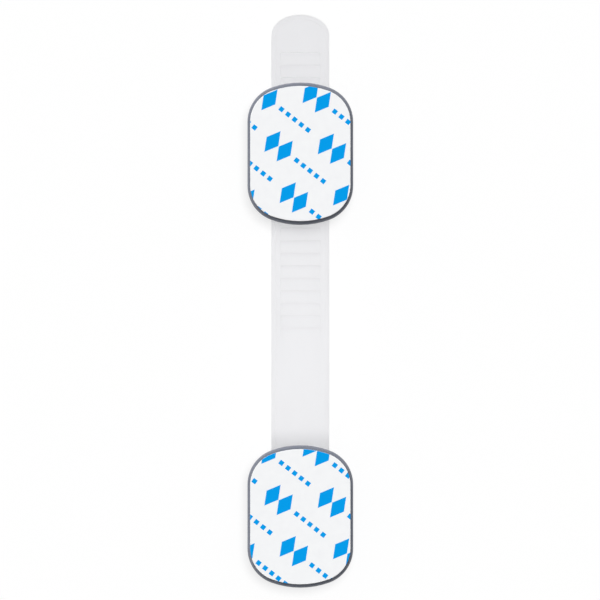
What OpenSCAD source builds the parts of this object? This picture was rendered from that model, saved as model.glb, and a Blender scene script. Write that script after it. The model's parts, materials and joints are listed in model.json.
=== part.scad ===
// Cabinet safety lock: a ratchet strap between two stick-on pads.
// It lies face down: the covers rest on z = 0 and the adhesive faces look up.
// X runs across the strap and Y along it, from the lock pad to the strap's free tip.

/* [Pads] */
// Width of a pad on each side of the strap
side_w = 7.4; // [6.6:0.1:10]
// Length of a pad along the strap
pad_l = 44.2; // [41:0.1:56]
// Radius of the arc at each end of a pad
end_r = 26.5; // [23:0.5:40]
// Radius of a pad's corners
corner_r = 11.2; // [9.5:0.1:12.4]
// Distance between the centres of the two pads
pad_pitch = 112.6; // [95:0.1:160]

/* [Covers] */
// Thickness of a cover's side wall
wall = 1.6; // [1.2:0.1:1.8]
// Thickness of a cover's front
front_t = 1.6; // [1.2:0.1:2.2]
// Radius of a cover's front edge
edge_r = 3; // [2.4:0.1:3.4]
// How far a cover's side leans in towards its front
draft = 0.6; // [0.2:0.1:0.9]

/* [Bases] */
// Thickness of a base plate
base_t = 1.4; // [1:0.1:2.4]
// Radius of a base plate's back edge
base_edge = 0.7; // [0.2:0.05:0.8]
// Height of the lip that drops inside the cover
lip_h = 1.5; // [1.2:0.1:1.7]
// Thickness of that lip
lip_t = 1; // [0.8:0.1:1.2]
// How far the lip's snap beads stand out
bead = 0.5; // [0.4:0.05:0.6]
// Height of a snap bead
bead_h = 0.7; // [0.5:0.1:0.8]
// Length of a snap bead
bead_l = 6; // [4:0.1:7]
// Distance from a pad's centre to the snap beads on its sides
bead_y = 5.5; // [5:0.1:6]

/* [Tape] */
// Width of the base's rim that is bare beside the tape
rim = 0.85; // [0.8:0.05:2]
// Width of that bare rim at a pad's ends
rim_end = 1.15; // [0.8:0.05:3]
// Thickness of the foam tape
foam_t = 1; // [0.5:0.1:2]
// Thickness of the release liner
liner_t = 0.15; // [0.1:0.05:0.3]

/* [Strap] */
// Width of the strap
strap_w = 18; // [16:0.1:22]
// Thickness of the strap over its edge rails
strap_t = 2; // [1.8:0.1:2.6]
// Length of strap that stands out past the adjuster pad
tail_l = 21.3; // [19.6:0.1:50]
// Length of the rounded tip
tip_l = 6.5; // [3:0.1:8]
// Width of the rail along each edge
rail_w = 1.3; // [0.8:0.1:2]
// Height of the rails over the strap's field
rail_h = 0.2; // [0.1:0.05:0.3]
// Width of the plain strip between the teeth and each edge of the strap
teeth_in = 2.85; // [2.4:0.05:4]
// Distance from tooth to tooth
tooth_pitch = 3.9; // [3.2:0.1:4.6]
// Height of a tooth
tooth_h = 0.85; // [0.75:0.05:1]
// Flat land on top of a tooth
tooth_land = 0.4; // [0.2:0.1:0.8]
// Plain length between the strap's tip and its last tooth
tip_plain = 9.2; // [7:0.1:15]
// Length of teeth between the adjuster pad and the strap's plain stretch
teeth_past = 37; // [20:1:50]

/* [Plug] */
// Thickness of the plug's skin over and under the strap's tang
plug_skin = 0.8; // [0.6:0.1:1]
// Distance from the mouth end of the lock pad in to the roots of the plug's arms
yoke_in = 16.1; // [15:0.1:18]
// Distance from the closed end of the lock pad in to the plug's nose
nose_in = 12.6; // [12.4:0.1:14]
// Length of the yoke that holds the strap
yoke_l = 9; // [8:0.1:11]
// Length of the strap's tang inside the yoke
tang_l = 7; // [6:0.1:7.5]
// How far each edge of the strap's tang is set in from the strap's edge
tang_in = 2.8; // [2:0.1:3.2]
// Clearance over and under the strap's tang
tang_gap = 0.05; // [0.05:0.05:0.1]
// Diameter of the two pins that go through the yoke and the tang
strap_pin_d = 3; // [2.4:0.1:3.4]
// Distance from the tang's edge in to a pin's centre
strap_pin_in = 2.8; // [2.4:0.1:3.6]
// Width of a spring arm
arm_w = 2.4; // [1.8:0.1:2.8]
// Distance from the strap's edge in to an arm's outer face
arm_set = 1.4; // [1.2:0.1:1.8]
// How far a barb stands out from its arm
barb = 1.8; // [1.4:0.1:2]
// Length of a barb from its catch face to its nose
barb_l = 6; // [5:0.1:7]
// Length of the flat on top of a barb
barb_flat = 1.5; // [1:0.1:2]
// Size of the gusset at an arm's root
gusset = 1; // [0.6:0.1:1.2]
// Width of the guide between the arms
guide_w = 3; // [2:0.1:4]
// How far that guide stops short of the arms' noses
guide_short = 2; // [1:0.1:6]
// Thickness of the ribs that the plug slides on
rail_t = 1.2; // [0.8:0.1:1.6]

/* [Squeeze buttons] */
// Length of a finger face
finger_l = 11; // [9:0.1:12]
// Height of a finger face
finger_h = 4; // [3.4:0.1:4.2]
// How far a finger face is inside the pad's outline
finger_in = 0.35; // [0.3:0.05:0.6]
// Radius of a finger face's corners
finger_r = 1.2; // [0.8:0.1:1.6]
// Radius of a finger face's edges
finger_edge = 0.4; // [0.2:0.05:0.5]
// Distance between the grip ridges
ridge_pitch = 1.8; // [1.4:0.1:2.4]
// Radius of a grip ridge
ridge_r = 0.3; // [0.2:0.05:0.35]
// How far a flange reaches past the opening that holds it
flange_over = 0.45; // [0.35:0.05:0.5]
// Thickness of a flange
flange_t = 1; // [0.8:0.1:1.2]
// Length of the nose that pushes the barb
pusher_l = 2.3; // [1.8:0.1:2.6]
// Height of the nose that pushes the barb
pusher_h = 2.5; // [2:0.1:3]
// Squeeze past the point where the barb is free
over_travel = 0.2; // [0.1:0.05:0.3]
// Outer diameter of a button spring
spring_d = 3.4; // [3:0.1:3.8]
// Diameter of the spring wire
wire_d = 0.45; // [0.35:0.05:0.5]
// Turns of a button spring
spring_turns = 6; // [4:1:7]
// Gap between the plug's nose and the springs
spring_gap = 1.2; // [1:0.1:1.4]
// Length of the spigots that hold a spring
spigot_l = 1.2; // [0.8:0.1:1.6]

/* [Ratchet] */
// Thickness of the pawl
pawl_t = 1.1; // [0.9:0.1:1.4]
// How far the pawl's teeth bite below the strap's teeth
bite = 0.5; // [0.4:0.05:0.55]
// Distance from the adjuster's centre down to the pawl's first tooth
pawl_y = 3.6; // [3:0.1:4.8]
// Distance from the adjuster's centre up to the pawl's root
root_y = 6; // [5:0.1:7]
// Length of the pawl's root
root_l = 9; // [7:0.1:9.5]
// Diameter of the pins that hold the pawl
pin_d = 2.2; // [1.6:0.1:2.6]
// Distance between those pins
pin_gap = 13; // [11:0.1:14]
// Diameter of the bosses behind the pawl
boss_d = 5; // [4:0.1:6]
// Width of the release button's face across the strap
release_w = 15; // [12:0.1:16]
// Length of the release button's face along the strap
release_l = 8; // [7:0.1:8.6]
// How far the release button's flange reaches past its window
release_over = 0.9; // [0.7:0.1:1]
// Travel of the release button
release_travel = 1.5; // [1.3:0.1:1.8]
// How far the release button's face lies below the cover's front
release_in = 0.25; // [0.2:0.05:0.5]

/* [Fits] */
// Running clearance between moving pieces
clear = 0.3; // [0.25:0.05:0.35]
// Clearance of pieces that sit on each other
seat_gap = 0.15; // [0.1:0.05:0.2]

/* [Hidden] */
$fn = 48;
// Straight steps in each corner and each end arc of a pad's outline
corner_steps = 14;
end_steps = 8;
// Straight steps in a rounded edge and in the corner of a small opening
edge_steps = 4;
small_steps = 5;
// Straight steps in the strap's rounded tip
tip_steps = 24;
// Rings in a turn of a spring, and sides of its wire
turn_steps = 8;
wire_sides = 6;
// Reach of a cut past the face that it opens
past = 1;

// Heights above the floor, from the cover's front to the liner
strap_z = front_t + seat_gap + flange_t + release_travel + clear;
strap_top = strap_z + strap_t;
field_z = strap_top - rail_h;
mid_z = strap_z + strap_t / 2;
plug_t = strap_t + 2 * plug_skin;
plug_z = mid_z - plug_t / 2;
pawl_z = strap_top + clear;
base_z = pawl_z + pawl_t + release_travel + clear;
foam_z = base_z + base_t;
liner_z = foam_z + foam_t;

// Places along the strap, with the whole length centred on y = 0
overall_l = pad_pitch + pad_l + tail_l;
tip_y = overall_l / 2;
lock_y = pad_l / 2 - tip_y;
adjuster_y = lock_y + pad_pitch;

// A pad's outline: straight sides, an arc at each end and a tangent arc in each corner
pad_w = strap_w + 2 * side_w;
corner_x = pad_w / 2 - corner_r;
end_y = pad_l / 2 - end_r;
corner_y = end_y + sqrt(pow(end_r - corner_r, 2) - pow(corner_x, 2));
lean = asin(corner_x / (end_r - corner_r));

// Inside face of a cover's side wall near its front, where the room is least
inner_x = pad_w / 2 - draft - wall;
// Inset of the lip inside the cover
lip_in = seat_gap + wall + clear;

// The strap's band of teeth, its tang and the pins through the tang
teeth_w = strap_w - 2 * teeth_in;
tang_w = strap_w - 2 * tang_in;
strap_pin_x = tang_w / 2 - strap_pin_in;

// The plug in the lock pad: the roots and the noses of its arms
yoke_y = pad_l / 2 - yoke_in;
nose_y = nose_in - pad_l / 2;

// The strap's channel, and how far the ribs beside it run towards a pad's ends
channel_x = strap_w / 2 + clear;
rib_reach = corner_y + corner_r / 2;

// Squeeze buttons, measured on the right-hand one
barb_x = strap_w / 2 - arm_set + barb;
arm_x = strap_w / 2 - arm_set - arm_w;
catch_y = nose_y + barb_l;
squeeze = barb + over_travel;
button_y = catch_y - barb_flat;
flange_x = inner_x - seat_gap;
flange_in = flange_x - flange_t;
post_x = flange_in - squeeze - clear;
foot_x = flange_in - flange_t - flange_over;
spring_y = nose_y - spring_gap - spring_d / 2;
stop_x = spring_d / 2 + wire_d;
spigot_d = spring_d - 2 * wire_d - 2 * seat_gap;

// Release button and pawl
release_y = -pawl_y - tooth_pitch / 2;
leg_x = channel_x + rail_t + clear;
leg_out = pad_w / 2 - draft - edge_r;
leg_l = tooth_pitch;
release_flange_l = release_l + 2 * release_over;
tongue_w = teeth_w - 2 * clear;
tip_z = field_z - bite;
mesh_y = adjuster_y - pawl_y + seat_gap;

// Points of an arc, with its first and last steps left out if skip is 1
function arc(x, y, r, from, to, steps, skip = 0) =
    [for (i = [skip : steps - skip]) let (a = from + (to - from) * i / steps) [x + r * cos(a), y + r * sin(a)]];

// A pad's outline moved in by inset, counter-clockwise
function outline(inset) = concat(
    arc(corner_x, corner_y, corner_r - inset, 0, 90 - lean, corner_steps),
    arc(0, end_y, end_r - inset, 90 - lean, 90 + lean, end_steps, 1),
    arc(-corner_x, corner_y, corner_r - inset, 90 + lean, 180, corner_steps),
    arc(-corner_x, -corner_y, corner_r - inset, 180, 270 - lean, corner_steps),
    arc(0, -end_y, end_r - inset, 270 - lean, 270 + lean, end_steps, 1),
    arc(corner_x, -corner_y, corner_r - inset, 270 + lean, 360, corner_steps)
);

// The tape's outline: the pad's, moved in by rim at the sides and by rim_end at the ends
function tape_outline() =
    [for (p = outline(rim)) [p.x, p.y * (pad_l / 2 - rim_end) / (pad_l / 2 - rim)]];

// A rounded rectangle about the origin, counter-clockwise
function round_rect(w, l, r) = [
    for (q = [0 : 3])
        let (x = (q == 0 || q == 3 ? 1 : -1) * (w / 2 - r), y = (q < 2 ? 1 : -1) * (l / 2 - r))
            each arc(x, y, r, 90 * q, 90 * q + 90, small_steps)
];

// A ring of the pad's outline at a height
function pad_ring(inset, z) = [for (p = outline(inset)) [p.x, p.y, z]];

// A ring of a finger face at a distance from the middle of the pad
function finger_ring(inset, x) =
    [for (p = round_rect(finger_l - 2 * inset, finger_h - 2 * inset, finger_r - inset)) [x, p.x, p.y]];

// A skin through rings that have the same number of points, closed at both ends
module loft(rings) {
    n = len(rings[0]);
    last = len(rings) - 1;
    sides = [for (k = [0 : last - 1]) for (i = [0 : n - 1])
        let (j = (i + 1) % n, low = k * n, high = low + n)
            each [[low + i, high + i, high + j], [low + i, high + j, low + j]]];
    ends = [[for (i = [0 : n - 1]) i], [for (i = [0 : n - 1]) last * n + n - 1 - i]];
    polyhedron(points = [for (r = rings) each r], faces = concat(ends, sides));
}

// A plate with the pad's outline
module pad_plate(inset, z, t) {
    translate([0, 0, z])
        linear_extrude(t)
            polygon(outline(inset));
}

// A sheet with the tape's outline
module tape_sheet(z, t) {
    translate([0, 0, z])
        linear_extrude(t)
            polygon(tape_outline());
}

// A block on both sides of the strap's centre line, from x1 to x2
module pair(x1, x2, y1, y2, z1, z2) {
    for (side = [0, 1])
        mirror([side, 0, 0])
            translate([x1, y1, z1])
                cube([x2 - x1, y2 - y1, z2 - z1]);
}

// A cover: a cup with leaning walls, a rounded front edge and pockets for the snap beads
module cover_shell() {
    front = draft + edge_r;
    outside = [for (i = [0 : edge_steps]) let (a = 90 * i / edge_steps)
        pad_ring(front - edge_r * sin(a), edge_r - edge_r * cos(a))];
    inside = [for (i = [edge_steps : -1 : 0]) let (a = 90 * i / edge_steps)
        pad_ring(front - (edge_r - wall) * sin(a), edge_r - (edge_r - front_t) * cos(a))];
    parting = [pad_ring(seat_gap, base_z), pad_ring(seat_gap + wall, base_z)];
    difference() {
        loft(concat(outside, parting, inside));
        snap_beads(seat_gap);
    }
}

// Snap beads round the lip, or the pockets for them where they are grown by spare
module snap_beads(spare) {
    half = bead_l / 2 + spare;
    z = base_z - lip_h + spare;
    intersection() {
        difference() {
            pad_plate(lip_in - bead - spare, z - 2 * spare, bead_h + 2 * spare);
            pad_plate(lip_in + lip_t / 2, z - past, bead_h + 2 * past);
        }
        union() {
            translate([-pad_w, bead_y - half, 0])
                cube([2 * pad_w, 2 * half, foam_z]);
            translate([-half, -pad_l, 0])
                cube([2 * half, pad_l, foam_z]);
        }
    }
}

// A base plate with a rounded back edge and the lip that centres and holds the cover
module base_plate() {
    top = base_z + base_t;
    edge = [for (i = [0 : edge_steps]) let (a = 90 * i / edge_steps)
        pad_ring(base_edge * (1 - cos(a)), top - base_edge * (1 - sin(a)))];
    loft(concat([pad_ring(0, base_z)], edge));
    difference() {
        pad_plate(lip_in, base_z - lip_h, lip_h);
        pad_plate(lip_in + lip_t, base_z - lip_h - past, lip_h + past);
    }
    snap_beads(0);
}

// A coil spring along X from x1 to x2, as one tube
module coil(x1, x2) {
    r = (spring_d - wire_d) / 2;
    steps = spring_turns * turn_steps;
    rise = (x2 - x1 - wire_d) / steps;
    rings = [for (i = [0 : steps]) let (turn = 360 * i / turn_steps) [
        for (k = [0 : wire_sides - 1])
            let (a = -360 * k / wire_sides, out = r + wire_d / 2 * cos(a))
                [x1 + wire_d / 2 + rise * i + wire_d / 2 * sin(a), out * cos(turn), out * sin(turn)]
    ]];
    loft(rings);
}

// A slot through a cover's end wall, from the cavity outwards
module end_slot(z1, z2) {
    translate([-channel_x, rib_reach, z1])
        cube([2 * channel_x, pad_l, z2 - z1]);
}

module lock_base() {
    color("#75767e")
        translate([0, lock_y, 0]) {
            base_plate();
            // Ribs over the plug's arms
            pair(arm_x, arm_x + rail_t, nose_y, rib_reach, plug_z + plug_t + clear, base_z);
            // Posts that catch the barbs
            pair(arm_x + arm_w + clear, post_x, catch_y + seat_gap, catch_y + (yoke_y - catch_y) / 3, plug_z, base_z);
            // Wall that the springs push against, with a spigot for each
            pair(0, stop_x, spring_y - stop_x, spring_y + stop_x, plug_z, base_z);
            translate([-stop_x - spigot_l, spring_y, mid_z])
                rotate([0, 90, 0])
                    cylinder(d = spigot_d, h = 2 * (stop_x + spigot_l));
        }
}

module lock_cover() {
    color("#75767e")
        translate([0, lock_y, 0])
            difference() {
                union() {
                    cover_shell();
                    // Ribs under the plug's arms
                    pair(arm_x, arm_x + rail_t, nose_y, rib_reach, front_t / 2, plug_z - clear);
                }
                // Mouth for the plug
                end_slot(plug_z - clear, plug_z + plug_t + clear);
                // Windows for the squeeze buttons
                translate([-pad_w, button_y, mid_z])
                    rotate([90, 0, 90])
                        linear_extrude(2 * pad_w)
                            polygon(round_rect(finger_l + 2 * seat_gap, finger_h + 2 * seat_gap, finger_r));
            }
}

module foam_tape() {
    color("#c9cacd")
        tape_sheet(foam_z, foam_t);
}

module liner() {
    color("#f3f4f6")
        tape_sheet(liner_z, liner_t);
}

module lock_foam_pad() {
    translate([0, lock_y, 0])
        foam_tape();
}

module lock_liner() {
    translate([0, lock_y, 0])
        liner();
}

module right_button() {
    face_x = pad_w / 2 - finger_in;
    ridges = floor((finger_l - 2 * finger_r) / ridge_pitch / 2);
    foot_y = spring_y - spring_d / 2;
    flange_y = -finger_l / 2 - flange_over;
    rounded = [for (i = [0 : edge_steps]) let (a = 90 * i / edge_steps)
        finger_ring(finger_edge * (1 - cos(a)), face_x - finger_edge * (1 - sin(a)))];
    color("#8b8c94")
        translate([0, lock_y, mid_z]) {
            // Finger face with rounded edges and grip ridges
            translate([0, button_y, 0]) {
                loft(concat([finger_ring(0, flange_in)], rounded));
                for (i = [-ridges : ridges])
                    translate([face_x, i * ridge_pitch, -finger_h / 2 + finger_r / 2])
                        cylinder(r = ridge_r, h = finger_h - finger_r);
            }
            // Flange behind the window
            translate([flange_in, button_y + flange_y, -finger_h / 2 - flange_over])
                cube([flange_t, finger_l + 2 * flange_over, finger_h + 2 * flange_over]);
            // Nose that pushes the barb
            translate([barb_x + clear, catch_y - pusher_l - 2 * clear, -pusher_h / 2])
                cube([flange_x - barb_x - clear, pusher_l, pusher_h]);
            // Foot that holds the spring
            translate([0, 0, -pusher_h / 2])
                linear_extrude(pusher_h)
                    polygon([
                        [flange_in + flange_t / 2, nose_y + clear],
                        [foot_x, nose_y + clear],
                        [foot_x, foot_y],
                        [foot_x + flange_t, foot_y],
                        [flange_in + flange_t / 2, button_y + flange_y]
                    ]);
            translate([foot_x - spigot_l, spring_y, 0])
                rotate([0, 90, 0])
                    cylinder(d = spigot_d, h = spigot_l + flange_t / 2);
        }
}

module left_button() {
    mirror([1, 0, 0])
        right_button();
}

module right_spring() {
    color("#b9bcc2")
        translate([0, lock_y + spring_y, mid_z])
            coil(stop_x + seat_gap, foot_x - seat_gap);
}

// The same coil on the other side
module left_spring() {
    translate([-stop_x - foot_x, 0, 0])
        right_spring();
}

// The strap seen from above: a half-ellipse tip, straight edges and a square end
function strap_outline(inset, end_y) = concat(
    [for (i = [0 : tip_steps]) let (a = 180 * i / tip_steps)
        [(strap_w / 2 - inset) * cos(a), tip_y - tip_l + (tip_l - inset) * sin(a)]],
    [[inset - strap_w / 2, end_y], [strap_w / 2 - inset, end_y]]
);

// Two round columns through the strap's tang
module pin_pair(d, z, h) {
    for (side = [-1, 1])
        translate([side * strap_pin_x, lock_y + yoke_y + yoke_l - tang_l / 2, z])
            cylinder(d = d, h = h);
}

module strap() {
    yoke_end = lock_y + yoke_y + yoke_l;
    first = ceil((adjuster_y - pad_l / 2 - teeth_past - mesh_y) / tooth_pitch);
    last = floor((tip_y - tip_plain - mesh_y) / tooth_pitch);
    color("#e9eaec")
        difference() {
            union() {
                translate([0, 0, strap_z])
                    linear_extrude(strap_t)
                        polygon(strap_outline(0, yoke_end));
                translate([-tang_w / 2, yoke_end - tang_l, strap_z])
                    cube([tang_w, tang_l + past, strap_t - rail_h]);
            }
            // Field between the edge rails
            translate([0, 0, field_z])
                linear_extrude(rail_h + past)
                    polygon(strap_outline(rail_w, yoke_end - past));
            // Gaps between the teeth: each slopes down to the next tooth's upright face
            for (k = [first : last - 1])
                translate([-teeth_w / 2, mesh_y + k * tooth_pitch, field_z])
                    rotate([90, 0, 90])
                        linear_extrude(teeth_w)
                            polygon([
                                [tooth_land, 0],
                                [tooth_pitch, -tooth_h],
                                [tooth_pitch, past],
                                [tooth_land, past]
                            ]);
            // Holes for the pins
            pin_pair(strap_pin_d + 2 * seat_gap, plug_z, plug_t);
        }
}

module strap_plug() {
    yoke_end = yoke_y + yoke_l;
    arm_t = plug_t - 2 * seat_gap;
    guide_y = nose_y + guide_short + guide_w / 2;
    color("#dcdde0")
        translate([0, lock_y, 0]) {
            // Yoke with a pocket for the strap's tang
            difference() {
                translate([-strap_w / 2, yoke_y, plug_z])
                    cube([strap_w, yoke_l - seat_gap, plug_t]);
                translate([-tang_w / 2 - seat_gap, yoke_end - tang_l - seat_gap, strap_z - tang_gap])
                    cube([tang_w + 2 * seat_gap, tang_l + past, strap_t + 2 * tang_gap]);
                translate([0, -lock_y, 0])
                    pin_pair(strap_pin_d, plug_z - past, plug_t + 2 * past);
            }
            // Spring arms with their barbs
            translate([0, 0, plug_z + seat_gap])
                linear_extrude(arm_t)
                    for (side = [0, 1])
                        mirror([side, 0])
                            polygon([
                                [arm_x, yoke_y + past],
                                [arm_x, nose_y],
                                [arm_x + arm_w / 2, nose_y],
                                [barb_x, catch_y - barb_flat],
                                [barb_x, catch_y],
                                [arm_x + arm_w, catch_y],
                                [arm_x + arm_w, yoke_y - gusset],
                                [arm_x + arm_w + gusset, yoke_y],
                                [arm_x + arm_w + gusset, yoke_y + past]
                            ]);
            // Guide between the arms
            translate([0, guide_y, plug_z + seat_gap]) {
                translate([-guide_w / 2, 0, 0])
                    cube([guide_w, yoke_y - guide_y + past, arm_t]);
                cylinder(d = guide_w, h = arm_t);
            }
        }
}

module strap_pins() {
    color("#b9bcc2")
        pin_pair(strap_pin_d, plug_z + seat_gap, plug_t - 2 * seat_gap);
}

module adjuster_base() {
    color("#75767e")
        translate([0, adjuster_y, 0]) {
            base_plate();
            // Bosses and pins that hold the pawl's root
            for (side = [-1, 1])
                translate([side * pin_gap / 2, root_y + root_l / 2, 0]) {
                    translate([0, 0, pawl_z + pawl_t])
                        cylinder(d = boss_d, h = base_z + base_t / 2 - pawl_z - pawl_t);
                    translate([0, 0, pawl_z])
                        cylinder(d = pin_d, h = base_z - pawl_z);
                }
        }
}

module adjuster_cover() {
    below = release_y - release_flange_l / 2 - clear;
    above = release_y + release_flange_l / 2 + clear;
    rib_x = channel_x + rail_t;
    color("#75767e")
        translate([0, adjuster_y, 0])
            difference() {
                union() {
                    cover_shell();
                    // Ribs beside the strap, taller where the pawl's root rests on them
                    pair(channel_x, rib_x, -rib_reach, below, front_t / 2, strap_top);
                    pair(channel_x, rib_x, above, rib_reach, front_t / 2, strap_top);
                    pair(channel_x, rib_x, root_y, root_y + root_l, front_t / 2, pawl_z);
                }
                // Slot for the strap at each end
                end_slot(strap_z - clear, strap_top + clear);
                mirror([0, 1, 0])
                    end_slot(strap_z - clear, strap_top + clear);
                // Window for the release button
                translate([0, release_y, -past])
                    linear_extrude(front_t + 2 * past)
                        polygon(round_rect(release_w + 2 * seat_gap, release_l + 2 * seat_gap, release_l / 2));
            }
}

module adjuster_foam_pad() {
    translate([0, adjuster_y, 0])
        foam_tape();
}

module adjuster_liner() {
    translate([0, adjuster_y, 0])
        liner();
}

module ratchet_pawl() {
    tooth_back = tooth_pitch / 2;
    tip_end = pawl_y + tooth_pitch + tooth_back + tooth_land;
    color("#d8d3c4")
        translate([0, adjuster_y, 0])
            difference() {
                union() {
                    // Root, tongue and the wings that the release button pushes
                    translate([0, 0, pawl_z])
                        linear_extrude(pawl_t) {
                            translate([-leg_x, root_y])
                                square([2 * leg_x, root_l]);
                            translate([-tongue_w / 2, -tip_end])
                                square([tongue_w, tip_end + root_y + past]);
                            translate([-leg_out, release_y - leg_l / 2])
                                square([2 * leg_out, leg_l]);
                        }
                    // Two teeth with upright faces towards the strap's tip
                    for (k = [0, 1])
                        translate([-tongue_w / 2, -pawl_y - k * tooth_pitch, 0])
                            rotate([90, 0, 90])
                                linear_extrude(tongue_w)
                                    polygon([
                                        [0, pawl_z + pawl_t / 2],
                                        [-tooth_back, pawl_z + pawl_t / 2],
                                        [-tooth_back, pawl_z],
                                        [-tooth_land, tip_z],
                                        [0, tip_z]
                                    ]);
                }
                for (side = [-1, 1])
                    translate([side * pin_gap / 2, root_y + root_l / 2, pawl_z - past])
                        cylinder(d = pin_d + seat_gap, h = pawl_t + 2 * past);
            }
}

module release_button() {
    flange_z = front_t + seat_gap;
    color("#8b8c94")
        translate([0, adjuster_y + release_y, 0]) {
            // Face in the cover's front window
            translate([0, 0, release_in])
                linear_extrude(flange_z + flange_t / 2 - release_in)
                    polygon(round_rect(release_w, release_l, release_l / 2 - seat_gap));
            // Flange behind the cover's front
            translate([0, 0, flange_z])
                linear_extrude(flange_t)
                    polygon(round_rect(2 * leg_out, release_flange_l, finger_r));
            // Legs beside the strap, up to the pawl's wings
            pair(leg_x, leg_out, -leg_l / 2, leg_l / 2, flange_z + flange_t / 2, pawl_z - seat_gap);
        }
}

lock_base();
lock_cover();
lock_foam_pad();
lock_liner();
left_button();
right_button();
left_spring();
right_spring();
strap();
strap_plug();
strap_pins();
adjuster_base();
adjuster_cover();
adjuster_foam_pad();
adjuster_liner();
ratchet_pawl();
release_button();
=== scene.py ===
# %% [markdown]
# A cabinet safety lock, dressed for the camera
#
# The lock is a toothed plastic strap between two stick-on pads. It lies face down, so the camera
# sees the two adhesive backs: a grey moulded rim round each, foam tape inside the rim, and a
# printed paper liner on the tape. The imported model gives every piece its real size and place. This
# lesson adds what a imported solid lacks: rounded edges, soft foam, paper, ink, wire and light. First
# the frame is loaded, and its box is kept, so that the dressed lock's size can be set against it at the
# end. First the frame is loaded, and its box is kept, because nothing added later may make the object
# bigger.

# %% Load the frame
import json
import math

import bmesh
import bpy
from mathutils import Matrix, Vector, noise


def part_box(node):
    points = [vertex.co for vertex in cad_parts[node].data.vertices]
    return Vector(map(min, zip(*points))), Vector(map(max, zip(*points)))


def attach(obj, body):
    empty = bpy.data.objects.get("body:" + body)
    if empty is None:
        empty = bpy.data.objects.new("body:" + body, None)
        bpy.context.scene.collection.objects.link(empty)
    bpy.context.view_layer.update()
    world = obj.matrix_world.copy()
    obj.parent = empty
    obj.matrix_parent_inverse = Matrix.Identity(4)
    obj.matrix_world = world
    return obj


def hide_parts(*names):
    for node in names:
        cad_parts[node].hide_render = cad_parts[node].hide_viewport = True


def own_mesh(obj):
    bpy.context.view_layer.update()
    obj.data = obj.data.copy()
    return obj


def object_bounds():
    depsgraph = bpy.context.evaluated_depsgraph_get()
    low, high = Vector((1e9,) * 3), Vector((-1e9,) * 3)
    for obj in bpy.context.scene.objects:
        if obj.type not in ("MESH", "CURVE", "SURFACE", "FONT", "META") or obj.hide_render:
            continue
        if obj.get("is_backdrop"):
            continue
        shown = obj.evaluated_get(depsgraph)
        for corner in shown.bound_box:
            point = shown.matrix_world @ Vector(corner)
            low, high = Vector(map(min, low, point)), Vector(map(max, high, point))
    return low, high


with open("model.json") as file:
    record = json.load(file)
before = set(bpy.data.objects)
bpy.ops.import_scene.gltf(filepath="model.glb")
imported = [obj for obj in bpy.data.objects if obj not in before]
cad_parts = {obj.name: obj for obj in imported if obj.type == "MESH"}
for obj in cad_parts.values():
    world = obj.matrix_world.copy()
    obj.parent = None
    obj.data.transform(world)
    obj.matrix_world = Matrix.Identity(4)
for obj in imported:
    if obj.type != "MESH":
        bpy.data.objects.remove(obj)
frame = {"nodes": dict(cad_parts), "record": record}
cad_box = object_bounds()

MM = 0.001
MATH = "ShaderNodeMath"
nodes = frame["nodes"]

# %% [markdown]
# Helpers for materials
#
# A colour on a screen is written as an sRGB hex value, but Cycles works with linear light, so one
# function turns the first into the second. A material is a small graph, and one function adds a
# node to it: settings go on the node, and each input takes a number, a colour, another node's
# output, or a node, which stands for its first output. Writing graphs this way keeps every material
# readable from top to bottom. Patterns are given in real millimetres, and a third function turns
# those into a texture's scale.

# %% Colours and nodes
def linear(hex_colour):
    """An sRGB hex colour as linear red, green, blue and alpha."""
    parts = [int(hex_colour[i:i + 2], 16) / 255 for i in (1, 3, 5)]
    return tuple(c / 12.92 if c <= 0.04045 else ((c + 0.055) / 1.055) ** 2.4 for c in parts) + (1.0,)


def add(tree, kind, inputs=None, **settings):
    """Adds one node to a graph, with its settings, and sets or links its inputs."""
    made = tree.nodes.new(kind)
    for name, value in settings.items():
        setattr(made, name, value)
    for socket, value in (inputs or {}).items():
        if isinstance(value, bpy.types.Node):
            value = next(output for output in value.outputs if output.enabled)
        if isinstance(value, bpy.types.NodeSocket):
            tree.links.new(value, made.inputs[socket])
        else:
            made.inputs[socket].default_value = value
    return made


def new_material(name):
    """A material with an empty graph, and the place of a point on its object."""
    material = bpy.data.materials.new(name)
    material.use_nodes = True
    tree = material.node_tree
    tree.nodes.clear()
    return material, tree, add(tree, "ShaderNodeTexCoord").outputs["Object"]


def per_metre(size_mm):
    """The texture scale that repeats a pattern once in so many millimetres."""
    return 1 / (size_mm * MM)


print("grey sample:", [round(c, 3) for c in linear("#808080")])

# %% [markdown]
# The grey shells: injection-moulded ABS
#
# Covers and base plates are ABS from a spark-eroded mould. The mould leaves a fine, even grain, so
# the plastic is satin: it shows broad soft highlights and no sharp mirror image. A real grain is
# about 0.15 mm, half a pixel in this picture, so it is drawn at 0.45 mm to show at all. A slow
# drift in colour, over about 12 mm, stands for the way the melt filled the mould, and the gloss
# changes a little with the grain. The buttons are the same plastic in a lighter batch with a
# coarser grain, so one function makes both.

# %% Moulded ABS
ABS_IOR = 1.54
DRIFT_MM = 12
GLOSS_SPREAD = (-0.05, 0.07)
GRAIN_STRENGTH = 0.35


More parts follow.
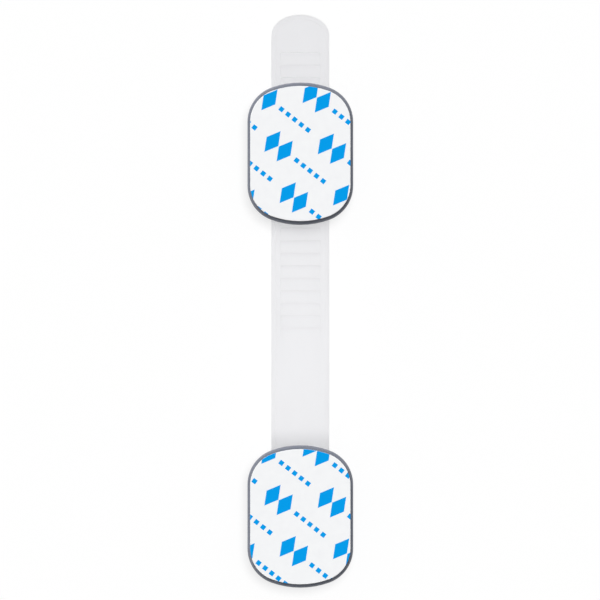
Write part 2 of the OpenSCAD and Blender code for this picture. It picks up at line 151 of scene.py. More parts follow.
def moulded_abs(name, shade, drift_shade, roughness, grain_mm, grain_depth_mm):
    """Satin ABS: an even colour with a slow drift, and the fine grain of the mould."""
    # To the eye: solid grey plastic with broad, soft highlights, a little broken up by the grain.
    material, tree, place = new_material(name)
    drift = add(tree, "ShaderNodeTexNoise", {
        "Vector": place, "Scale": per_metre(DRIFT_MM), "Detail": 2.0,
    })
    grain = add(tree, "ShaderNodeTexNoise", {
        "Vector": place, "Scale": per_metre(grain_mm), "Detail": 1.0,
    })
    tone = add(tree, "ShaderNodeMix", {
        "Factor": drift, "A": linear(shade), "B": linear(drift_shade),
    }, data_type="RGBA")
    gloss = add(tree, "ShaderNodeMapRange", {
        "Value": grain, "To Min": roughness + GLOSS_SPREAD[0], "To Max": roughness + GLOSS_SPREAD[1],
    })
    relief = add(tree, "ShaderNodeBump", {
        "Height": grain, "Distance": grain_depth_mm * MM, "Strength": GRAIN_STRENGTH,
    })
    surface = add(tree, "ShaderNodeBsdfPrincipled", {
        "Base Color": tone, "Roughness": gloss, "Normal": relief, "IOR": ABS_IOR,
    })
    add(tree, "ShaderNodeOutputMaterial", {"Surface": surface})
    return material


shell_abs = moulded_abs(
    "satin_moulded_abs", "#717580", "#767a85", roughness=0.36, grain_mm=0.45, grain_depth_mm=0.02)
button_abs = moulded_abs(
    "textured_button_abs", "#83858e", "#878992", roughness=0.48, grain_mm=0.6, grain_depth_mm=0.04)
print("made", shell_abs.name, "and", button_abs.name)

# %% [markdown]
# Where the strap is grey, and painted shade on it
#
# The strap is frosted plastic, and its colour is greyest towards its plug and its tip and clearest in
# between. Towards the tip it is simply made greyer. Close to the lock pad's mouth, where the pad's
# wall shades the strap, the grey is painted shade. Each gap between teeth slopes down to an upright
# face, and its root is painted with shade; that painted shade is strongest in the middle of the
# toothed run and fades towards its ends. A picture could be painted for this, but it is worked out
# from the place of a point, so it stays sharp from close by.

# %% Greys and painted shade of the strap
# Reach and strength of the grey towards the tip, of the painted shade by the lock pad, and of the
# painted shade in the teeth's roots
TIP_GREY_MM = (79, 2)
PLUG_SHADE_MM = 5.8
ROOT_SHADE_MM = (0.6, 1.05)
UNDER_ROOT_MM = 1.1
UPWARD = 0.5
TEETH_MIDDLE_MM = 35.0
ROOT_SHADE_FADE_MM = (10, 48)
ROOT_SHADE_AT_ENDS = 0.1
TIP_GREY, PLUG_SHADE, ROOT_SHADE = 0.55, 1.65, 1.0
strap_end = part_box("strap")[1]
lock_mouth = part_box("lock_cover")[1].y


def strap_grey_and_painted_shade(tree, place):
    """Grey towards the strap's tip, and painted shade by the lock pad and in the roots of its teeth."""
    axes = add(tree, "ShaderNodeSeparateXYZ", {"Vector": place}).outputs
    facing = add(tree, "ShaderNodeTexCoord").outputs["Normal"]
    rise = add(tree, "ShaderNodeSeparateXYZ", {"Vector": facing}).outputs["Z"]
    tip_end = add(tree, "ShaderNodeMapRange", {
        "Value": axes["Y"], "To Min": 0.0, "To Max": TIP_GREY,
        "From Min": strap_end.y - TIP_GREY_MM[0] * MM, "From Max": strap_end.y - TIP_GREY_MM[1] * MM,
    }, interpolation_type="SMOOTHSTEP")
    # Painted shade: darker close to the lock pad's mouth, where the pad's wall shades the strap
    plug_shade = add(tree, "ShaderNodeMapRange", {
        "Value": axes["Y"], "To Min": PLUG_SHADE, "To Max": 0.0,
        "From Min": lock_mouth, "From Max": lock_mouth + PLUG_SHADE_MM * MM,
    }, interpolation_type="SMOOTHSTEP")
    # Painted shade in the roots of the teeth: below the lands, on faces that look up
    root = add(tree, "ShaderNodeMapRange", {
        "Value": axes["Z"], "To Min": 0.0, "To Max": ROOT_SHADE,
        "From Min": strap_end.z - ROOT_SHADE_MM[0] * MM, "From Max": strap_end.z - ROOT_SHADE_MM[1] * MM,
    }, interpolation_type="SMOOTHSTEP")
    slope = add(tree, MATH, {0: rise, 1: UPWARD}, operation="GREATER_THAN")
    under_root = strap_end.z - UNDER_ROOT_MM * MM
    upper = add(tree, MATH, {0: axes["Z"], 1: under_root}, operation="GREATER_THAN")
    # The painted shade in the roots is strongest in the middle of the toothed run and fades towards its
    # ends
    from_middle = add(tree, MATH, {0: axes["Y"], 1: TEETH_MIDDLE_MM * MM}, operation="SUBTRACT")
    root_shade_fade = add(tree, "ShaderNodeMapRange", {
        "Value": add(tree, MATH, {0: from_middle}, operation="ABSOLUTE"),
        "To Min": 1.0, "To Max": ROOT_SHADE_AT_ENDS, "From Min": ROOT_SHADE_FADE_MM[0] * MM, "From Max": ROOT_SHADE_FADE_MM[1] * MM,
    })
    for share in (slope, upper, root_shade_fade):
        root = add(tree, MATH, {0: root, 1: share}, operation="MULTIPLY")
    return tip_end, plug_shade, root


print(f"grey within {TIP_GREY_MM[0]} mm of the tip and {PLUG_SHADE_MM} mm of the lock pad")

# %% [markdown]
# The strap: frosted polypropylene
#
# The strap is natural polypropylene, milky because its crystals scatter light inside it, and
# frosted because its mould was blasted. A 2 mm strap lets most of the light through and blurs it,
# so it takes on the white of what lies under it, and shadows on it are faint. Rough transmission
# does that, and a little subsurface scattering adds the milk. A blasted skin turns back less light
# than a polished one, so the index is set below the 1.49 of the solid. Faint streaks along the
# strap, about 5 mm apart, are flow lines of the melt.

# %% Frosted polypropylene
FROSTED_IOR = 1.36
CLEAR_SHARE = 0.93
MILK_DEPTH_MM = 3
FLOW_MM, FLOW_SQUEEZE = 5, 0.12
FLOW_GLOSS = (0.36, 0.46)
FROST_MM, FROST_DEPTH_MM, FROST_STRENGTH = 0.5, 0.01, 0.3
STREAK_GREY = 0.25


def frosted_polypropylene():
    """Milky, frosted plastic that passes most of the light."""
    # To the eye: a soft white glow with no clear view through it, greyer towards the tip, with painted
    # shade by the lock pad and in the roots of the teeth.
    material, tree, place = new_material("frosted_polypropylene")
    streaks = add(tree, "ShaderNodeMapping", {"Vector": place, "Scale": (1.0, FLOW_SQUEEZE, 1.0)})
    flow = add(tree, "ShaderNodeTexNoise", {
        "Vector": streaks, "Scale": per_metre(FLOW_MM), "Detail": 3.0,
    })
    frost = add(tree, "ShaderNodeTexNoise", {
        "Vector": place, "Scale": per_metre(FROST_MM), "Detail": 1.0,
    })
    # Flow streaks, the grey towards the tip, and painted shade by the lock pad and in the teeth's roots
    streaks_grey_and_shade = add(tree, MATH, {0: flow, 1: STREAK_GREY}, operation="MULTIPLY")
    for grey in strap_grey_and_painted_shade(tree, place):
        streaks_grey_and_shade = add(tree, MATH, {0: streaks_grey_and_shade, 1: grey}, operation="ADD")
    tone = add(tree, "ShaderNodeMix", {
        "Factor": streaks_grey_and_shade, "A": linear("#f5f5f7"), "B": linear("#ebebed"),
    }, data_type="RGBA", clamp_factor=False)
    gloss = add(tree, "ShaderNodeMapRange", {
        "Value": flow, "To Min": FLOW_GLOSS[0], "To Max": FLOW_GLOSS[1],
    })
    relief = add(tree, "ShaderNodeBump", {
        "Height": frost, "Distance": FROST_DEPTH_MM * MM, "Strength": FROST_STRENGTH,
    })
    surface = add(tree, "ShaderNodeBsdfPrincipled", {
        "Base Color": tone, "Roughness": gloss, "Normal": relief, "IOR": FROSTED_IOR,
        "Transmission Weight": CLEAR_SHARE, "Subsurface Weight": 1.0,
        "Subsurface Radius": (1.0, 1.0, 1.0), "Subsurface Scale": MILK_DEPTH_MM * MM,
    })
    add(tree, "ShaderNodeOutputMaterial", {"Surface": surface})
    return material


strap_plastic = frosted_polypropylene()
print("made", strap_plastic.name)

# %% [markdown]
# Plug and pawl: acetal
#
# Parts that slide and snap are acetal: hard, white and waxy, from a polished mould. It is smoother
# than the shells, and a little light goes into it.

# %% Acetal
ACETAL_IOR = 1.48
ACETAL_DRIFT_MM = 6
ACETAL_GLOSS = (0.24, 0.34)
WAX_SHARE, WAX_DEPTH_MM = 0.3, 0.8


def polished_acetal():
    """White waxy plastic with a smooth moulded face."""
    # To the eye: a warm white with tighter highlights than the shells, and edges that stay light.
    material, tree, place = new_material("polished_acetal")
    drift = add(tree, "ShaderNodeTexNoise", {
        "Vector": place, "Scale": per_metre(ACETAL_DRIFT_MM), "Detail": 2.0,
    })
    tone = add(tree, "ShaderNodeMix", {
        "Factor": drift, "A": linear("#e4e3df"), "B": linear("#ebeae7"),
    }, data_type="RGBA")
    gloss = add(tree, "ShaderNodeMapRange", {
        "Value": drift, "To Min": ACETAL_GLOSS[0], "To Max": ACETAL_GLOSS[1],
    })
    surface = add(tree, "ShaderNodeBsdfPrincipled", {
        "Base Color": tone, "Roughness": gloss, "IOR": ACETAL_IOR, "Subsurface Weight": WAX_SHARE,
        "Subsurface Radius": (1.0, 1.0, 1.0), "Subsurface Scale": WAX_DEPTH_MM * MM,
    })
    add(tree, "ShaderNodeOutputMaterial", {"Surface": surface})
    return material


acetal = polished_acetal()
print("made", acetal.name)

# %% [markdown]
# Springs and pins: drawn steel wire
#
# The wire was pulled through a die, which leaves fine lines along it. They are far below a pixel,
# so they are drawn as an uneven gloss, about 0.3 mm across.

# %% Drawn steel
DIE_LINE_MM = 0.3
STEEL_GLOSS = (0.22, 0.38)


def drawn_steel():
    """Bright steel with the uneven gloss of a drawn wire."""
    # To the eye: a bright metal whose highlight runs along the wire and is slightly uneven.
    material, tree, place = new_material("drawn_spring_steel")
    lines = add(tree, "ShaderNodeTexNoise", {
        "Vector": place, "Scale": per_metre(DIE_LINE_MM), "Detail": 2.0,
    })
    gloss = add(tree, "ShaderNodeMapRange", {
        "Value": lines, "To Min": STEEL_GLOSS[0], "To Max": STEEL_GLOSS[1],
    })
    surface = add(tree, "ShaderNodeBsdfPrincipled", {
        "Base Color": linear("#c3c5c9"), "Metallic": 1.0, "Roughness": gloss,
    })
    add(tree, "ShaderNodeOutputMaterial", {"Surface": surface})
    return material


steel = drawn_steel()
print("made", steel.name)

# %% [markdown]
# The tape: closed-cell polyethylene foam
#
# The tape's core is white foam, cut with a die. The cut opens the cells, so the edge is matt and
# pitted. Cells are about 0.35 mm; Voronoi noise gives their rounded hollows, as bump and as a
# little shade in each hollow.

# %% Polyethylene foam
FOAM_IOR, FOAM_ROUGHNESS = 1.45, 0.9
CELL_MM, CELL_DEPTH_MM, CELL_STRENGTH = 0.35, 0.08, 0.6


def closed_cell_foam():
    """White die-cut foam with open cells on its cut edge."""
    # To the eye: a dull white edge with fine pits, and no highlight.
    material, tree, place = new_material("closed_cell_polyethylene_foam")
    cells = add(tree, "ShaderNodeTexVoronoi", {"Vector": place, "Scale": per_metre(CELL_MM)})
    tone = add(tree, "ShaderNodeMix", {
        "Factor": cells, "A": linear("#cfd0d2"), "B": linear("#eeeff0"),
    }, data_type="RGBA")
    relief = add(tree, "ShaderNodeBump", {
        "Height": cells, "Distance": CELL_DEPTH_MM * MM, "Strength": CELL_STRENGTH,
    })
    surface = add(tree, "ShaderNodeBsdfPrincipled", {
        "Base Color": tone, "Roughness": FOAM_ROUGHNESS, "Normal": relief, "IOR": FOAM_IOR,
    })
    add(tree, "ShaderNodeOutputMaterial", {"Surface": surface})
    return material


foam_plastic = closed_cell_foam()
print("made", foam_plastic.name)

# %% [markdown]
# The liner's print
#
# The print on the liner is a plain repeat in one colour: lozenge pairs and rows of squares, in
# staggered rows that lean across the pad. An image would tie it to one resolution, so it is
# arithmetic on the place of each point: turn it, find the row and the step it is in, and ask
# whether it is inside a shape.

# %% The print
PRINT_LEAN_DEG = -38
ROW_MM = 9.6
STEP_MM = 27.0
LOZENGE_MM = (2.3, 4.1)
LOZENGE_AT_MM = (-10.2, -5.4)
SQUARE_MM = 1.45
SQUARE_STEP_MM = 2.6
SQUARES_FROM_MM = -1.4
SQUARE_COUNT = 5


def ink_mask(tree, place):
    """1 where the liner is printed, and 0 where its paper is bare."""
    turned = add(tree, "ShaderNodeMapping", {
        "Vector": place, "Scale": (1 / MM, 1 / MM, 1 / MM),
        "Rotation": (0.0, 0.0, math.radians(-PRINT_LEAN_DEG)),
    })
    axes = add(tree, "ShaderNodeSeparateXYZ", {"Vector": turned}).outputs
    rows = add(tree, MATH, {0: axes["Y"], 1: ROW_MM}, operation="DIVIDE")
    row = add(tree, MATH, {0: rows}, operation="FLOOR")
    odd_row = add(tree, MATH, {0: row, 1: 2.0}, operation="FLOORED_MODULO")
    shifted = add(tree, MATH, {0: odd_row, 1: STEP_MM / 2, 2: axes["X"]}, operation="MULTIPLY_ADD")
    step = add(tree, MATH, {0: shifted, 1: STEP_MM}, operation="FLOORED_MODULO")
    along = add(tree, MATH, {0: step, 1: STEP_MM / 2}, operation="SUBTRACT")
    in_row = add(tree, MATH, {0: axes["Y"], 1: ROW_MM}, operation="FLOORED_MODULO")
    off_row = add(tree, MATH, {0: in_row, 1: ROW_MM / 2}, operation="SUBTRACT")
    across = add(tree, MATH, {0: off_row}, operation="ABSOLUTE")

    shapes = []
    height = add(tree, MATH, {0: across, 1: LOZENGE_MM[1]}, operation="DIVIDE")
    for centre in LOZENGE_AT_MM:
        off_centre = add(tree, MATH, {0: along, 1: centre}, operation="SUBTRACT")
        width = add(tree, MATH, {0: off_centre}, operation="ABSOLUTE")
        reach = add(tree, MATH, {0: width, 1: 1 / LOZENGE_MM[0], 2: height}, operation="MULTIPLY_ADD")
        shapes.append(add(tree, MATH, {0: reach, 1: 1.0}, operation="LESS_THAN"))

    run = add(tree, MATH, {0: along, 1: SQUARES_FROM_MM}, operation="SUBTRACT")
    in_step = add(tree, MATH, {0: run, 1: SQUARE_STEP_MM}, operation="FLOORED_MODULO")
    square = add(tree, MATH, {0: in_step, 1: SQUARE_MM}, operation="LESS_THAN")
    for test in (
        add(tree, MATH, {0: across, 1: SQUARE_MM / 2}, operation="LESS_THAN"),
        add(tree, MATH, {0: run, 1: 0.0}, operation="GREATER_THAN"),
        add(tree, MATH, {0: run, 1: SQUARE_COUNT * SQUARE_STEP_MM}, operation="LESS_THAN"),
    ):
        square = add(tree, MATH, {0: square, 1: test}, operation="MULTIPLY")

    ink = square
    for shape in shapes:
        ink = add(tree, MATH, {0: ink, 1: shape}, operation="MAXIMUM")
    return ink


print(f"print: rows {ROW_MM} mm apart, a repeat every {STEP_MM} mm")

# %% [markdown]
# The liner: silicone-coated paper
#
# The liner peels off the tape, so its paper has a thin silicone coat. The coat has a low index and
# is matt, so the surface reflects little and the ink stays deep. Under it the fibres leave a faint
# cloudiness. Ink is a little duller than the coat.

# %% Printed release liner
COAT_IOR, COAT_SHINE = 1.41, 0.15
COAT_ROUGHNESS, INK_ROUGHNESS = 0.6, 0.7
FIBRE_MM = 2.5


def printed_liner():
    """White coated paper with rows of blue lozenges and squares."""
    # To the eye: flat, even white and blue with hardly any shine.
    material, tree, place = new_material("printed_silicone_paper")
    ink = ink_mask(tree, place)
    fibres = add(tree, "ShaderNodeTexNoise", {
        "Vector": place, "Scale": per_metre(FIBRE_MM), "Detail": 4.0,
    })
    paper = add(tree, "ShaderNodeMix", {
        "Factor": fibres, "A": linear("#f1f2f4"), "B": linear("#f8f9fa"),
    }, data_type="RGBA")
    tone = add(tree, "ShaderNodeMix", {
        "Factor": ink, "A": paper, "B": linear("#009cea"),
    }, data_type="RGBA")
    gloss = add(tree, "ShaderNodeMapRange", {
        "Value": ink, "To Min": COAT_ROUGHNESS, "To Max": INK_ROUGHNESS,
    })
    surface = add(tree, "ShaderNodeBsdfPrincipled", {
        "Base Color": tone, "Roughness": gloss, "IOR": COAT_IOR, "Specular IOR Level": COAT_SHINE,
    })
    add(tree, "ShaderNodeOutputMaterial", {"Surface": surface})
    return material


liner_paper = printed_liner()
print("made", liner_paper.name)

# %% [markdown]
# Pieces that stand for solids
#
# Every piece that is seen stands for a imported solid. It takes over the solid's body, so it moves
# with it; the record says which body that is. One function does this for all pieces. Another shades
# a mesh smoothly, except where its faces meet at a clear angle.

# %% Stand-ins
SMOOTH_DEG = 46

bodies = frame["record"]["behaviour"]["bodies"]
body_of = {node: body for body, members in bodies.items() for node in members}


def show(piece, node, material):
    """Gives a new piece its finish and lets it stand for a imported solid."""
    piece.data.materials.clear()
    piece.data.materials.append(material)
    if piece.name not in bpy.context.scene.objects:
        bpy.context.scene.collection.objects.link(piece)
    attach(piece, body_of[node])
    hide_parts(node)
    return piece


def shade_smooth(mesh_data):
    """Smooth shading that stays sharp where faces meet at a clear angle."""
    mesh_data.polygons.foreach_set("use_smooth", [True] * len(mesh_data.polygons))
    mesh_data.set_sharp_from_angle(angle=math.radians(SMOOTH_DEG))


# %% [markdown]
# Mouldings with broken edges
#
# A mould has no razor edges: every corner of a real moulding is rounded a little, and that thin
# round catches a line of light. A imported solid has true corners, and its triangles don't share
# points, so it can't be shaded smoothly. Each moulding is therefore copied: the copy's points are
# welded, flat triangles are joined into whole faces, sharp edges are bevelled, and shading is
# smooth across all but the sharp ones. A bevel modifier on the solid itself would bevel every
# triangle. The copy stands for the solid and moves with its body.

# %% Copy the mouldings
WELD_MM = 0.002
FLAT_DEG = 0.6
SHARP_DEG = 50
BEVEL_STEPS = 2
EDGE_MM = {
    "base": 0.08, "cover": 0.12, "button": 0.15, "strap": 0.12, "pin": 0.2, "plug": 0.15, "pawl": 0.12,
}


def moulding(node, material, edge_mm, name=None, cuts=()):
    """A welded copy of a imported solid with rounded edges, cut off beyond each plane in cuts."""
    work = bmesh.new()
    work.from_mesh(nodes[node].data)
    bmesh.ops.remove_doubles(work, verts=work.verts, dist=WELD_MM * MM)
    bmesh.ops.dissolve_limit(
        work, angle_limit=math.radians(FLAT_DEG), verts=work.verts, edges=work.edges, delimit=set())
    sharp = [
        e for e in work.edges
        if len(e.link_faces) == 2 and e.calc_face_angle() > math.radians(SHARP_DEG)]
    bmesh.ops.bevel(
        work, geom=sharp, offset=edge_mm * MM, offset_type="OFFSET", segments=BEVEL_STEPS,
        profile=0.5, affect="EDGES", clamp_overlap=True)
    for point, beyond in cuts:
        bmesh.ops.bisect_plane(
            work, geom=work.verts[:] + work.edges[:] + work.faces[:],
            plane_co=point, plane_no=beyond, clear_outer=True)
        bmesh.ops.holes_fill(work, edges=[e for e in work.edges if e.is_boundary])
    # A bevel or a cut can leave points on top of each other
    bmesh.ops.remove_doubles(work, verts=work.verts, dist=WELD_MM * MM)
    bmesh.ops.dissolve_degenerate(work, dist=WELD_MM * MM, edges=work.edges)
    data = bpy.data.meshes.new(name or f"{node}_moulding")
    work.to_mesh(data)
    open_edges = sum(1 for e in work.edges if len(e.link_faces) != 2)
    work.free()
    shade_smooth(data)
    piece = show(bpy.data.objects.new(data.name, data), node, material)
    weighted = piece.modifiers.new("flat_faces_first", "WEIGHTED_NORMAL")
    weighted.keep_sharp = True
    print(f"{piece.name}: {len(data.polygons)} faces, {len(sharp)} sharp edges, {open_edges} open")
    return piece


for pad in ("lock", "adjuster"):
    moulding(f"{pad}_base", shell_abs, EDGE_MM["base"])
    moulding(f"{pad}_cover", shell_abs, EDGE_MM["cover"])
for button in ("left_button", "right_button", "release_button"):
    moulding(button, button_abs, EDGE_MM["button"])
strap = moulding("strap", strap_plastic, EDGE_MM["strap"])
moulding("strap_pins", steel, EDGE_MM["pin"])

# %% [markdown]
# Parts that give way
#
# The plug's two arms spring in when the buttons are squeezed, and the pawl's tongue is lifted by
# the release button. Both bend in the real lock. Here each is cut off just beyond its root and
# becomes a piece of its own, with a mesh of its own.

# %% Plug and pawl
YOKE_MM = 9.15
ROOT_MM = 9.2
ARM_FROM_MM = 3.4


def give_way(piece):
    """Gives a piece a mesh of its own."""
    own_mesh(piece)


y_axis, x_axis, z_axis = Vector((0, 1, 0)), Vector((1, 0, 0)), Vector((0, 0, 1))
root = Vector((0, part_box("strap_plug")[1].y - YOKE_MM * MM, 0))
arm = x_axis * ARM_FROM_MM * MM
edge = EDGE_MM["plug"]
no_yoke = (root, y_axis)
moulding("strap_plug", acetal, edge, "strap_plug_yoke", [(root, -y_axis)])
moulding("strap_plug", acetal, edge, "strap_plug_guide", [no_yoke, (arm, x_axis), (-arm, -x_axis)])
left_arm = moulding("strap_plug", acetal, edge, "strap_plug_left_arm", [no_yoke, (-arm, x_axis)])
right_arm = moulding("strap_plug", acetal, edge, "strap_plug_right_arm", [no_yoke, (arm, -x_axis)])
give_way(left_arm)
give_way(right_arm)

hinge = Vector((0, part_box("ratchet_pawl")[1].y - ROOT_MM * MM, 0))
edge = EDGE_MM["pawl"]
moulding("ratchet_pawl", acetal, edge, "ratchet_pawl_root", [(hinge, -y_axis)])
tongue = moulding("ratchet_pawl", acetal, edge, "ratchet_pawl_tongue", [(hinge, y_axis)])
give_way(tongue)

# %% [markdown]
# Shapes from rings
#
# Tape, liners and springs are built from rings of points that are joined with quads. A ring of a
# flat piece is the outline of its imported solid, moved in a little, so a new size of the solid comes
# through here by itself.

# %% Rings
def outline_of(node):
    """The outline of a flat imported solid, seen from above, in order round its middle."""
    low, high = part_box(node)
    middle = (low + high) / 2
    points = {(round(v.co.x, 6), round(v.co.y, 6)) for v in nodes[node].data.vertices}
    outline = [Vector((x, y, 0)) for x, y in points]
    outline.sort(key=lambda p: math.atan2(p.y - middle.y, p.x - middle.x))
    return outline


def inward(outline):
    """At each point of an outline, the direction to its inside."""
    count = len(outline)
    result = []
    for i in range(count):
        run = outline[(i + 1) % count] - outline[i - 1]
        result.append(Vector((-run.y, run.x, 0)).normalized())
    return result


def close_rings(work, rings):
    """Joins rings of points with quads."""
    for below, above in zip(rings, rings[1:]):
        for i in range(len(below)):
            j = (i + 1) % len(below)
            work.faces.new((below[i], below[j], above[j], above[i]))


print(f"{len(outline_of('lock_liner'))} points round a liner")

# %% [markdown]
# The foam of the tape
#
# A die presses foam before it cuts it, so the cut edge springs back slightly hollow, and the cells
# leave it a little uneven. The foam is built as rings from its lower to its upper face, each ring
# the pad's outline moved in by the hollow at its height.

# %% Foam pads
EDGE_RINGS = 8
HOLLOW_MM = 0.09
UNEVEN_MM = 0.035
CELL_NOISE_MM = 1.1


def foam_pad(node):
    """Die-cut foam with a hollow, slightly uneven edge."""
    low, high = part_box(node)
    outline = outline_of(node)
    directions = inward(outline)
    work = bmesh.new()
    rings = []
    for k in range(EDGE_RINGS + 1):
        share = k / EDGE_RINGS
        z = low.z + (high.z - low.z) * share
        # Nothing at the two faces and 1 halfway between them
        depth = 4 * share * (1 - share)
        ring = []
        for point, into in zip(outline, directions):
            place = Vector((point.x, point.y, z))
            rough = UNEVEN_MM * (0.5 + 0.5 * noise.noise(place / (CELL_NOISE_MM * MM)))
            ring.append(work.verts.new(place + into * (HOLLOW_MM + rough) * depth * MM))
        rings.append(ring)
    close_rings(work, rings)
    work.faces.new(reversed(rings[0]))
    work.faces.new(rings[-1])
    data = bpy.data.meshes.new(node.replace("_pad", "_tape"))
    work.to_mesh(data)
    work.free()
    shade_smooth(data)
    piece = show(bpy.data.objects.new(data.name, data), node, foam_plastic)
    print(f"{piece.name}: {len(outline)} points round, {EDGE_RINGS + 1} rings")


for pad in ("lock", "adjuster"):
    foam_pad(f"{pad}_foam_pad")

# %% [markdown]
# The paper liners
#
# Paper on foam is never quite flat: it follows the tape's slow waves, a few hundredths of a
# millimetre deep and about 14 mm long, which is enough to move a reflection. Its edge was crushed
# by the die, so it rolls over. Rings from the edge to the middle carry the waves, because one flat
# face could not.

# %% Liners
WAVE_MM = 0.035
WAVE_LENGTH_MM = 14.0
EDGE_ROLL_MM = 0.05
LINER_RINGS = 14


def paper_liner(node):
    """A thin sheet with slow waves and a rolled edge."""
    low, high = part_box(node)
    outline = outline_of(node)
    directions = inward(outline)
    middle = (low + high) / 2
    work = bmesh.new()
    foot = [work.verts.new((p.x, p.y, low.z)) for p in outline]
    shoulder = [work.verts.new((p.x, p.y, high.z - EDGE_ROLL_MM * MM)) for p in outline]
    rings = [foot, shoulder]
    for k in range(-1, LINER_RINGS):
        # The first ring ends the roll, and one just inside it keeps the roll's shading off the flat
        rolls = 1 if k < 0 else 2
        share = 1 - max(k, 0) / LINER_RINGS
        grown = min(1.0, 2 * (1 - share))
        ring = []
        for p, into in zip(outline, directions):
            rim = Vector((p.x, p.y, 0)) + into * EDGE_ROLL_MM * MM * rolls
            x = middle.x + (rim.x - middle.x) * share
            y = middle.y + (rim.y - middle.y) * share
            wave = 0.5 + 0.5 * noise.noise(Vector((x, y, 0)) / (WAVE_LENGTH_MM * MM))
            ring.append(work.verts.new((x, y, high.z - WAVE_MM * MM * grown * wave)))
        rings.append(ring)
    close_rings(work, rings)
    work.faces.new(reversed(foot))
    work.faces.new(rings[-1])
    data = bpy.data.meshes.new(f"{node}_paper")
    work.to_mesh(data)
    work.free()
    shade_smooth(data)
    piece = show(bpy.data.objects.new(data.name, data), node, liner_paper)
    print(f"{piece.name}: {len(data.polygons)} faces")


for pad in ("lock", "adjuster"):
    paper_liner(f"{pad}_liner")

# %% [markdown]
# The button springs
#
# Each spring is one wire wound into a helix, with its end turns closed up so that they sit square.
# A tube is swept along the helix. In the real lock the spring gets shorter when its button is
# squeezed.

# %% Springs
WIRE_MM = 0.45
TURNS = 6
TURN_STEPS = 28
WIRE_SIDES = 10
CLOSED_ENDS = 0.55


def coil_spring(node):
    """A wire spring along X, with its end turns closed up."""
    low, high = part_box(node)
    middle = (low + high) / 2
    wire = WIRE_MM * MM / 2
    radius = (high.z - low.z) / 2 - wire
    steps = TURNS * TURN_STEPS
    work = bmesh.new()
    rings = []
    for i in range(steps + 1):
        share = i / steps
        eased = share - math.sin(2 * math.pi * share) / (2 * math.pi) * CLOSED_ENDS
        turn = 2 * math.pi * i / TURN_STEPS
        x = low.x + wire + (high.x - low.x - 2 * wire) * eased
        ring = []
        for k in range(WIRE_SIDES):
            angle = 2 * math.pi * k / WIRE_SIDES
            out = radius + wire * math.cos(angle)
            ring.append(work.verts.new((
                x + wire * math.sin(angle),
                middle.y + out * math.cos(turn),
                middle.z + out * math.sin(turn))))
        rings.append(ring)
    close_rings(work, rings)
    work.faces.new(reversed(rings[0]))
    work.faces.new(rings[-1])
    bmesh.ops.recalc_face_normals(work, faces=work.faces)
    data = bpy.data.meshes.new(f"{node}_wire")
    work.to_mesh(data)
    work.free()
    shade_smooth(data)
    piece = show(bpy.data.objects.new(data.name, data), node, steel)
    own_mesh(piece)


coil_spring("left_spring")
coil_spring("right_spring")

# %% [markdown]
# The floor
#
# The lock lies on a white sweep. Lit like the object, a white floor would render a little grey, and
# more light to whiten it would wash out the object. So for what the eye, a reflection or a clear
# piece sees, most of the floor's look is an even white, and the rest is the lit floor with the
# object's shadow. Light that bounces off the floor meets the plain matt white.

# %% White floor
FLOOR_LIFT = 0.75
FLOOR_HALF_M = 3.0
FLOOR_GAP_MM = 0.02


def seen_ray(tree):
    """1 for what the eye sees, straight, mirrored or through clear pieces, and 0 for falling light."""
    path = add(tree, "ShaderNodeLightPath").outputs
    seen = add(tree, MATH, {0: path["Is Camera Ray"], 1: path["Is Glossy Ray"]}, operation="MAXIMUM")
    return add(tree, MATH, {0: seen, 1: path["Is Transmission Ray"]}, operation="MAXIMUM")


def white_floor():
    """A matt white plane under the covers."""
    material, tree, _ = new_material("matt_white_sweep")
    matt = add(tree, "ShaderNodeBsdfPrincipled", {
        "Base Color": linear("#fefefe"), "Roughness": 1.0, "Specular IOR Level": 0.0,
    })
    white = add(tree, "ShaderNodeEmission", {"Strength": 1.0})
    lift = add(tree, MATH, {0: seen_ray(tree), 1: FLOOR_LIFT}, operation="MULTIPLY")
    lifted = add(tree, "ShaderNodeMixShader", {0: lift, 1: matt, 2: white})
    add(tree, "ShaderNodeOutputMaterial", {"Surface": lifted})
    half = FLOOR_HALF_M
    corners = [(-half, -half, 0), (half, -half, 0), (half, half, 0), (-half, half, 0)]
    data = bpy.data.meshes.new("floor")
    data.from_pydata(corners, [], [(0, 1, 2, 3)])
    data.materials.append(material)
    floor = bpy.data.objects.new("floor", data)
    floor.location.z = cad_box[0].z - FLOOR_GAP_MM * MM
    bpy.context.scene.collection.objects.link(floor)
    floor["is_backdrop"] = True
    return floor


floor = white_floor()
print("floor lifted to white by", FLOOR_LIFT)

# %% [markdown]
# The world
#
# Soft studio light, as on a copy stand. The world fills the shadows. To the eye and in reflections
# it has white walls and a dark ceiling, because the camera hangs in a dark room over a lit table:
# flat faces mirror the ceiling and keep their colour, and sloping rims mirror the walls.

# %% World
FILL_SHARE = 0.28
CEILING_FROM = (0.45, 0.92)
CEILING_SHARE = 0.12


def white_world():
    """White walls under a dark ceiling for what is seen, and a gentle fill for matt surfaces."""
    world = bpy.data.worlds.new("studio")
    bpy.context.scene.world = world
    world.use_nodes = True
    tree = world.node_tree
    tree.nodes.clear()
    direction = add(tree, "ShaderNodeTexCoord").outputs["Generated"]
    way = add(tree, "ShaderNodeSeparateXYZ", {"Vector": direction})
    walls = add(tree, "ShaderNodeMapRange", {
        "Value": way.outputs["Z"], "From Min": CEILING_FROM[0], "From Max": CEILING_FROM[1],
        "To Min": 1.0, "To Max": CEILING_SHARE,
    }, interpolation_type="SMOOTHSTEP")
    strength = add(tree, "ShaderNodeMapRange", {
        "Value": seen_ray(tree), "To Min": FILL_SHARE, "To Max": walls,
    })
    sky = add(tree, "ShaderNodeBackground", {"Color": (1.0, 1.0, 1.0, 1.0), "Strength": strength})
    add(tree, "ShaderNodeOutputWorld", {"Surface": sky})


white_world()
print(f"fill {FILL_SHARE}, ceiling {CEILING_SHARE}")

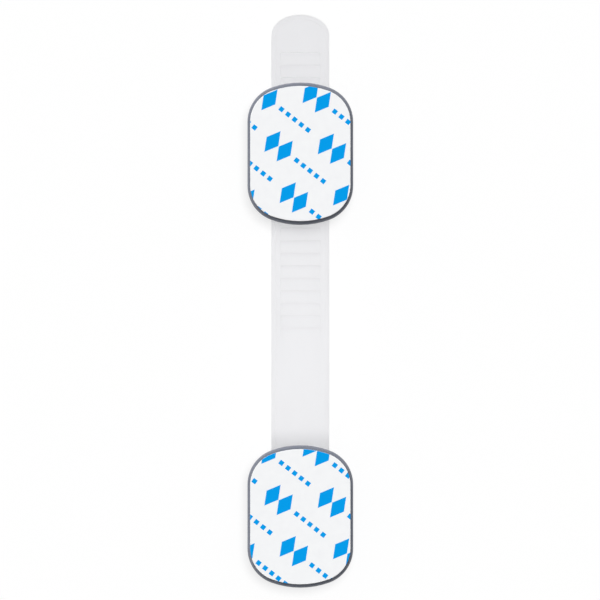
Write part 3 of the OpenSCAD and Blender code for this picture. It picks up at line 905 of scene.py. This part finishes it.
# %% [markdown]
# The lamps
#
# Wide suns are the lamps, because a sun lights an endless floor evenly. Two of them are softboxes
# for the object: a low one from the upper left is the key that the rims turn to, and a high one
# from the upper right lightens its shadows. A flag keeps both off the table, where they would lay
# long shadows. The table has a lamp of its own, almost overhead, so the only shade on it lies close
# below and to the left of the pads. Real light goes through the strap, but a shadow ray stops at
# any surface, so the strap is left out of that lamp's shadows. Like lamps with polarising sheets
# they all leave no glare, so they are hidden from reflections, and the key from clear pieces too,
# or the strap would shine as white as the floor when it is seen against the light. Each lamp's
# strength is worked out from its share of the light on a level surface; with the fill, the shares
# on the object add up to 1, and so do those on the table, and a colour shows as written.

# %% Lamps
LAMPS = {
    "high_softbox": {"azimuth": 30, "elevation": 74, "share": 0.14, "wide": 50, "in_clear": True},
    "low_softbox": {"azimuth": -28, "elevation": 36, "share": 0.58, "wide": 52},
    "table_lamp": {"azimuth": 27, "elevation": 79, "share": 0.72, "wide": 22, "on_table": True},
}


def link_set(name, piece, state):
    """A set for a lamp's links that takes in one piece alone, or leaves it out."""
    group = bpy.data.collections.new(name)
    group.objects.link(piece)
    group.collection_objects[0].light_linking.link_state = state
    return group


def sun(name, azimuth, elevation, share, wide, in_clear=False, on_table=False):
    """A wide lamp for the object or the table, from a compass direction: 0 is +Y and 90 is +X."""
    turn, rise = math.radians(azimuth), math.radians(elevation)
    source = Vector((math.sin(turn) * math.cos(rise), math.cos(turn) * math.cos(rise), math.sin(rise)))
    data = bpy.data.lights.new(name, "SUN")
    data.energy = share * math.pi / math.sin(rise)
    data.angle = math.radians(wide)
    lamp = bpy.data.objects.new(name, data)
    lamp.rotation_mode = "QUATERNION"
    lamp.rotation_quaternion = (-source).to_track_quat("-Z", "Y")
    lamp.visible_glossy = False
    lamp.visible_transmission = in_clear
    state = "INCLUDE" if on_table else "EXCLUDE"
    lamp.light_linking.receiver_collection = link_set(f"{name}_lights", floor, state)
    if on_table:
        lamp.light_linking.blocker_collection = link_set(f"{name}_shadows", strap, "EXCLUDE")
    bpy.context.scene.collection.objects.link(lamp)
    print(f"{name}: strength {data.energy:.2f}")


for lamp_name, lamp in LAMPS.items():
    sun(lamp_name, **lamp)
bpy.context.scene.view_settings.view_transform = "Standard"

# %% [markdown]
# The camera
#
# The picture was taken straight down on the backs of the pads, from far enough away that the sides
# of the pads don't show. A long lens does the same. Its height follows from the width of floor that
# the picture takes in.

# %% Camera
LENS_MM = 300
PICTURE_MM = 186.0
PICTURE_MIDDLE_MM = (-0.1, 0.25)
CLIP_M = (0.01, 20.0)

camera_data = bpy.data.cameras.new("copy_stand")
camera_data.lens = LENS_MM
camera = bpy.data.objects.new("copy_stand", camera_data)
height = PICTURE_MM * MM / 2 / (camera_data.sensor_width / 2 / LENS_MM)
camera.location = (PICTURE_MIDDLE_MM[0] * MM, PICTURE_MIDDLE_MM[1] * MM, cad_box[1].z + height)
camera_data.clip_start, camera_data.clip_end = CLIP_M
bpy.context.scene.collection.objects.link(camera)
bpy.context.scene.camera = camera
print(f"camera {height:.3f} m above the liners")

# %% [markdown]
# Size
#
# The dressed lock is set against the imported one: the growth of its box over the imported box
# is printed, in millimetres. The dressed lock must be no bigger than the imported one.

# %% Print the growth
look_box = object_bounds()
sizes = zip(cad_box[1] - cad_box[0], look_box[1] - look_box[0])
print("grown by (mm):", [round((b - a) / MM, 3) for a, b in sizes])
